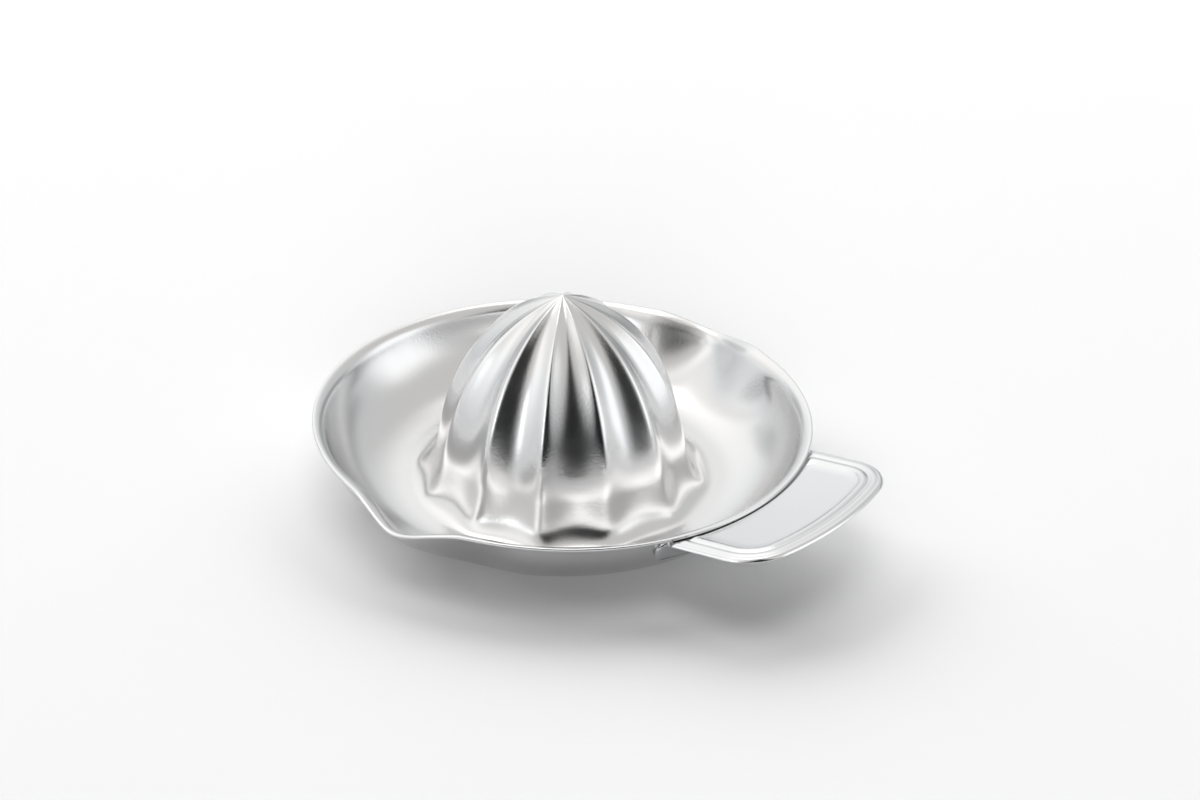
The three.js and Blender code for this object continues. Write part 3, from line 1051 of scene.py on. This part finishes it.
    def _border_line(self) -> Floats:
        """Half section of the border on a free side: two bands and the rolled edge.

        Returns:
            Rows of distance out from the panel's edge and height over the panel.
        """
        flat = self.outer_band_width - self.roll_radius
        share = np.linspace(0.0, 1.0, self.band_steps + 1)
        inner = self._band(share, 0.0, self.inner_band_width, self.inner_band_height)
        share = steps(self.outer_steps)[:-1]
        outer = self._band(share, self.inner_band_width, flat, self.outer_band_height)
        turn = np.linspace(0.0, self.roll_turn, self.roll_steps + 1)
        roll = pairs(self.inner_band_width + flat + self.roll_radius * np.sin(turn),
                     self.roll_radius * (np.cos(turn) - 1.0))
        return np.concatenate([inner, outer, roll])

    def _flange_shares(self, count: int) -> Floats:
        """Shares of the way from the groove to the blank's edge, closer in the bend.

        Args:
            count: How many shares there are.

        Returns:
            The shares, the last of them 1.
        """
        return np.concatenate([
            np.linspace(0.0, self.bend_way_share, count - self.flange_steps + 1)[1:],
            np.linspace(self.bend_way_share, 1.0, self.flange_steps + 1)[1:],
        ])

    def upper_rings(self) -> Floats:
        """Upper side of the handle as rings of points, from the panel out to the edge.

        The bands sink to the panel on the way to the lip.

        Returns:
            Rings by stations by three, about the axis of the dish.
        """
        panel, out, stretch, edge = self.stations()
        middle = self.panel_middle
        rings = [self.fold(middle + (panel - middle) * share) for share in steps(self.panel_steps)[:-1]]
        line = self._border_line()
        banded = self.band_steps + 1
        shares = self._flange_shares(len(line) - banded)
        welded = np.isfinite(edge[:, 0])
        groove = panel + out * stretch * self.inner_band_width
        for row, (distance, height) in enumerate(line):
            blank = panel + out * stretch * distance
            if height > 0.0:
                clear = np.linalg.norm(blank, axis=1, keepdims=True) - self.dish.lip_edge
                height = height * np.minimum(1.0, stretch) * smooth_step(clear / self.band_fade)
            ring = self._raised(blank, height)
            if row >= banded:
                way = (edge[welded] - groove[welded]) * shares[row - banded]
                ring[welded] = self.fold(groove[welded] + way)
            rings.append(ring)
        return np.stack(rings)

    def _weld_marks(self, lower: Floats, normal: Floats) -> tuple[Floats, Floats]:
        """Press a shallow round mark over each spot weld, with a ring of heat tint.

        The marks are on the outside of the flange, a sheet's thickness out from the weld.
        Their depth eases from the rim of the mark to its middle, and the tint is a bell
        curve about the rim.

        Args:
            lower: Rings of the lower side, which is the outside of the flange.
            normal: Normals of the upper side.

        Returns:
            The marked rings, and the share of heat tint at each point.
        """
        half = self.weld_spread_share * self.half_width / self.groove_radius
        angle = np.linspace(-half, half, self.weld_count)
        bend = self.bend(angle)
        spot = bend.end - bend.up * self.flange_height * self.weld_depth_share
        centre = swing(spot + quarter_turn(bend.up) * self.sheet, angle)
        away = np.linalg.norm(lower[:, :, None] - centre, axis=3).min(2) / (self.weld_diameter / 2.0)
        dent = self.weld_mark_depth * smooth_step((1.0 - away) / self.weld_mark_rim_share)
        tint = self.weld_tint * np.exp(-((away - 1.0) / self.weld_tint_width_share) ** 2)
        return lower + normal * dent[..., None], tint

    def skin(self) -> Piece:
        """Make the skin of the handle, with its polished edge that carries a painted highlight, and its weld
        marks.

        The lower side is the upper side moved by the sheet along its normals, which are
        the cross products of the steps across and along the rings.

        Returns:
            The new piece.
        """
        upper = self.upper_rings()
        across = np.gradient(upper, axis=0)
        normal = unit(np.cross(across, np.roll(upper, -1, axis=1) - np.roll(upper, 1, axis=1)))
        lower, stain = self._weld_marks(upper - normal * self.sheet, normal)
        edge = rounded_edge(upper[-1], lower[-1], unit(across[-1]), self.edge_bulge, self.edge_rows)
        rings = np.concatenate([upper, edge, lower[::-1]])
        pole = self.fold(self.panel_middle[None])
        under = pole + self.sheet * np.array([math.sin(self.tilt), 0.0, -math.cos(self.tilt)])
        polish_and_highlight, tint = np.zeros(rings.shape[:2]), np.zeros(rings.shape[:2])
        # Painted highlight, with the polishing, along the handle's free edge
        polish_and_highlight[len(upper) - self.polish_and_highlight_rows:len(upper) + self.edge_rows + 1] = 1.0
        tint[-len(lower):] = stain[::-1]
        seat = np.array([self.dish.axis_x, 0.0, 0.0])
        poles = np.concatenate([pole, under]) + seat
        return closed_skin("handle_skin", rings + seat, poles, {WearAndHighlight.POLISH_AND_HIGHLIGHT: polish_and_highlight, WearAndHighlight.STAINED: tint})

    def build(self) -> Piece:
        """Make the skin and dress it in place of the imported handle.

        Returns:
            The dressed piece.
        """
        piece = self.skin()
        dress(piece, self.finish, "handle_steel", "handle")
        return piece


@dataclass(frozen=True)
class WeldSpots:
    """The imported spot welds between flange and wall, shown as they are.

    Attributes:
        prefix: What the names of their nodes start with.
        finish: The fused steel that they are finished in.
    """

    prefix: str = "weld_spot"
    finish: SatinSteel = SatinSteel(
        "fused_steel", (0.52, 0.49, 0.45), roughness=0.42, spread=0.08, grain=0.00006, waves=0.00008
    )

    def build(self, nodes: dict[str, Piece]) -> list[Piece]:
        """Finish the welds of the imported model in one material.

        Args:
            nodes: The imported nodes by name.

        Returns:
            The welds.
        """
        steel = self.finish.material()
        welds = [node for name, node in nodes.items() if name.startswith(self.prefix)]
        for weld in welds:
            weld.data.materials.clear()
            weld.data.materials.append(steel)
        return welds


def soft_edge(tree: Tree, inside: Socket, softness: float) -> Socket:
    """Smooth step from 0 to 1 as a value passes from minus to plus the softness."""
    return remap(tree, inside, (-softness, softness), smooth=True)


def from_middle(tree: Tree, azimuth: Socket, middle: float) -> Socket:
    """How far an azimuth is from a middle given in degrees, whichever way round."""
    away = math_node(tree, "SUBTRACT", azimuth, math.radians(middle))
    return math_node(tree, "ABSOLUTE", math_node(tree, "WRAP", away, math.pi, -math.pi))


@dataclass(frozen=True)
class TentPanel:
    """A soft edged lit panel of the light tent, in degrees.

    Attributes:
        middle: Azimuth of its middle, from the camera's side, counterclockwise from above.
        half_width: Half of its width.
        low: Height of its lower edge.
        high: Height of its upper edge.
        softness: Half width of its soft edge.
        strength: Light added inside it, or taken away where it is below zero.
    """

    middle: float
    half_width: float
    low: float
    high: float
    softness: float
    strength: float

    def share(self, tree: Tree, azimuth: Socket, height: Socket) -> Socket:
        """How far a direction is inside the panel: the product of its three soft edges.

        Args:
            tree: The world's nodes.
            azimuth: Azimuth of the direction.
            height: Height of the direction.

        Returns:
            A share from 0 to 1.
        """
        soft = math.radians(self.softness)
        away = from_middle(tree, azimuth, self.middle)
        wide = soft_edge(tree, math_node(tree, "SUBTRACT", math.radians(self.half_width), away), soft)
        over = soft_edge(tree, math_node(tree, "SUBTRACT", height, math.radians(self.low)), soft)
        under = soft_edge(tree, math_node(tree, "SUBTRACT", math.radians(self.high), height), soft)
        return math_node(tree, "MULTIPLY", math_node(tree, "MULTIPLY", wide, over), under)


@dataclass(frozen=True)
class TentOpening:
    """The dark opening of the tent: wide at the table and closed at the top, in degrees.

    Attributes:
        middle: Azimuth of its middle, as a panel's.
        half_width: Half of its width at the table.
        top: Height where it closes.
        softness: Half width of its soft edge.
    """

    middle: float
    half_width: float
    top: float
    softness: float

    def share(self, tree: Tree, azimuth: Socket, height: Socket) -> Socket:
        """How far a direction is inside the opening.

        The half width falls in a straight line from the table to the top.

        Args:
            tree: The world's nodes.
            azimuth: Azimuth of the direction.
            height: Height of the direction.

        Returns:
            A share from 0 to 1.
        """
        away = from_middle(tree, azimuth, self.middle)
        fall = -self.half_width / self.top
        half = math_node(tree, "MULTIPLY_ADD", height, fall, math.radians(self.half_width))
        return soft_edge(tree, math_node(tree, "SUBTRACT", half, away), math.radians(self.softness))


@dataclass(frozen=True)
class SoftLamp:
    """A large round lamp for the table, which the metal doesn't mirror.

    Attributes:
        name: Name of the lamp.
        azimuth: Degrees round from the camera's side, counterclockwise from above.
        height: Degrees over the table.
        away: Distance from the dish, in metres.
        size: Diameter, in metres.
        level: How much of the plain light on the table it gives.
    """

    name: str
    azimuth: float
    height: float
    away: float
    size: float
    level: float

    @property
    def power(self) -> float:
        """Watts: pi squared times distance squared times level, over the sine of the height."""
        return (math.pi * self.away) ** 2 * self.level / math.sin(math.radians(self.height))

    def hang(self, axis_x: float, turn: float) -> Piece:
        """Hang the lamp so that it faces the dish.

        Args:
            axis_x: Where the upright axis of the dish stands along X, in metres.
            turn: Angle of the camera from straight in front, in radians.

        Returns:
            The lamp.
        """
        data = bpy.data.lights.new(self.name, "AREA")
        data.shape = "DISK"
        data.size = self.size
        data.energy = self.power
        lamp = bpy.data.objects.new(self.name, data)
        lamp.visible_glossy = False
        plan = math.radians(self.azimuth) + turn - math.pi / 2.0
        lift = math.radians(self.height)
        way = Vector((math.cos(plan) * math.cos(lift), math.sin(plan) * math.cos(lift), math.sin(lift)))
        lamp.location = Vector((axis_x, 0.0, 0.0)) + way * self.away
        lamp.rotation_euler = way.to_track_quat("Z", "Y").to_euler()
        bpy.context.scene.collection.objects.link(lamp)
        return lamp


@dataclass
class Studio:
    """Table, soft lamps, light tent and the camera. Places in metres about the dish's axis.

    Attributes:
        axis_x: Where the upright axis of the dish stands along X.
        turn: Angle of the camera from straight in front, towards the handle.
        aim_right: How far to the right of the dish's axis the camera aims.
        aim_up: How far above the floor level it aims.
        tent_level: Light of the plain tent.
        dark_level: Light of its dark opening.
        low_tint: Colour of the tent at the table.
        high_tint: Colour of the tent overhead.
        tint_height: Height of the middle between both tints, in degrees.
    """

    axis_x: float

    # Camera
    turn: float = math.radians(38.4)
    elevation: float = math.radians(30.1)
    roll: float = math.radians(0.5)
    distance: float = 1.1
    lens: float = 116.12
    sensor: float = 36.0
    view_reach: float = 50.0
    aim_right: float = 0.0108
    aim_up: float = 0.0193
    floor_level: float = 0.003

    # Table
    table_size: float = 8.0
    table_white: float = 0.94
    table_roughness: float = 0.9

    # Light tent and lamps
    tent_level: float = 0.814
    dark_level: float = 0.02
    low_tint: Colour = (0.975, 0.992, 1.0)
    high_tint: Colour = (1.0, 0.985, 0.96)
    tint_height: float = 30.0
    opening: TentOpening = TentOpening(8.0, 46.0, 89.0, 14.0)
    panels: tuple[TentPanel, ...] = (
        TentPanel(313.0, 7.7, 6.0, 30.0, 3.2, 1.2),  # narrow, front left
        TentPanel(85.5, 17.7, -17.5, 37.0, 9.6, 0.77),  # low, right
        TentPanel(209.0, 38.7, 15.2, 120.0, 25.0, 0.58),  # wide, back left
        TentPanel(146.0, 25.0, -16.0, 16.0, 3.2, -0.37),  # dim, back right
        TentPanel(220.3, 8.5, -28.0, 27.8, 3.5, -0.36),  # dim and narrow, back left
        TentPanel(191.6, 39.2, 56.0, 110.0, 12.8, 1.37),  # bright, overhead
        TentPanel(283.0, 23.9, 9.9, 75.8, 20.1, 0.64),  # wide, left
    )
    lamps: tuple[SoftLamp, ...] = (
        SoftLamp("back_lamp", 180.0, 32.0, 5.0, 4.0, 0.32),
        SoftLamp("left_lamp", 225.0, 32.0, 5.0, 4.0, 0.29),
        SoftLamp("right_lamp", 135.0, 32.0, 5.0, 4.0, 0.17),
        SoftLamp("top_lamp", 0.0, 88.0, 5.0, 4.0, 0.26),
        SoftLamp("front_lamp", 0.0, 14.0, 5.0, 3.0, 0.135),
    )

    def camera(self) -> Piece:
        """Set the camera at the photograph's viewing angle.

        Returns:
            The camera.
        """
        look = Vector((-math.sin(self.turn) * math.cos(self.elevation),
                       math.cos(self.turn) * math.cos(self.elevation),
                       -math.sin(self.elevation)))
        level = Vector((math.cos(self.turn), math.sin(self.turn), 0.0))
        upright = level.cross(look)
        right = math.cos(self.roll) * level + math.sin(self.roll) * upright
        up = -math.sin(self.roll) * level + math.cos(self.roll) * upright
        target = Vector((self.axis_x, 0.0, self.floor_level)) + self.aim_right * right + self.aim_up * up
        data = bpy.data.cameras.new("camera")
        data.lens = self.lens
        data.sensor_width = self.sensor
        data.clip_end = self.view_reach
        camera = bpy.data.objects.new("camera", data)
        turned = Matrix((right, up, -look)).transposed().to_4x4()
        camera.matrix_world = Matrix.Translation(target - self.distance * look) @ turned
        bpy.context.scene.collection.objects.link(camera)
        bpy.context.scene.camera = camera
        return camera

    def table(self) -> Piece:
        """Lay the pale table.

        Returns:
            The table.
        """
        half = self.table_size / 2.0
        mesh = bpy.data.meshes.new("table")
        corners = [(-half, -half, 0.0), (half, -half, 0.0), (half, half, 0.0), (-half, half, 0.0)]
        mesh.from_pydata(corners, [], [(0, 1, 2, 3)])
        table = bpy.data.objects.new("table", mesh)
        bpy.context.scene.collection.objects.link(table)
        paper = bpy.data.materials.new("pale_table")
        paper.use_nodes = True
        shader = paper.node_tree.nodes["Principled BSDF"]
        shader.inputs["Base Color"].default_value = (self.table_white,) * 3 + (1.0,)
        shader.inputs["Roughness"].default_value = self.table_roughness
        shader.inputs["Specular IOR Level"].default_value = 0.0
        mesh.materials.append(paper)
        return table

    def sky(self) -> bpy.types.World:
        """Surround the scene with the light tent, open on the camera's side.

        The panels are added to the tent's level, and the opening takes the sum down to the
        dark level. The table isn't lit by the tent.

        Returns:
            The world.
        """
        world = bpy.data.worlds.new("light_tent")
        world.use_nodes = True
        bpy.context.scene.world = world
        world.cycles_visibility.diffuse = False
        tree = world.node_tree
        background = tree.nodes["Background"]
        azimuth, height = self._sky_angles(tree)
        middle = math.radians(self.tint_height)
        high = soft_edge(tree, math_node(tree, "SUBTRACT", height, middle), middle)
        feed(tree, background.inputs["Color"], blend(tree, high, self.low_tint, self.high_tint))
        level: Socket | float = self.tent_level
        for panel in self.panels:
            share = panel.share(tree, azimuth, height)
            level = math_node(tree, "MULTIPLY_ADD", share, panel.strength, level)
        dark = self.opening.share(tree, azimuth, height)
        feed(tree, background.inputs["Strength"], remap(tree, dark, (0.0, 1.0), (level, self.dark_level)))
        return world

    def _sky_angles(self, tree: Tree) -> tuple[Socket, Socket]:
        """Angles of a direction of the sky.

        Args:
            tree: The world's nodes.

        Returns:
            Azimuth from the camera's side and height over the table, both in radians.
        """
        place = tree.nodes.new("ShaderNodeTexCoord")
        turned = tree.nodes.new("ShaderNodeMapping")
        turned.inputs["Rotation"].default_value = (0.0, 0.0, math.pi / 2.0 - self.turn)
        tree.links.new(place.outputs["Generated"], turned.inputs["Vector"])
        parts = tree.nodes.new("ShaderNodeSeparateXYZ")
        tree.links.new(turned.outputs["Vector"], parts.inputs["Vector"])
        azimuth = math_node(tree, "ARCTAN2", parts.outputs["Y"], parts.outputs["X"])
        return azimuth, math_node(tree, "ARCSINE", parts.outputs["Z"])

    def build(self) -> None:
        """Set up the whole studio."""
        self.camera()
        self.table()
        self.sky()
        for lamp in self.lamps:
            lamp.hang(self.axis_x, self.turn)
        bpy.context.scene.view_settings.view_transform = "Standard"


def main() -> None:
    """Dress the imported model, light it and set the camera."""
    logging.basicConfig(level=logging.INFO, format="%(name)s %(message)s")
    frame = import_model()
    low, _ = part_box("juicer_body")
    pressing = Pressing()
    pressing.axis_x = low.x / MM + pressing.lip_edge
    Studio(axis_x=pressing.axis_x * MM).build()
    welds = WeldSpots()
    for piece in (pressing.build(), HandlePressing(pressing).build(), *welds.build(frame["nodes"])):
        LOG.info("%s: %d points, %d faces", piece.name, len(piece.data.vertices), len(piece.data.polygons))


if __name__ == "__main__":
    main()
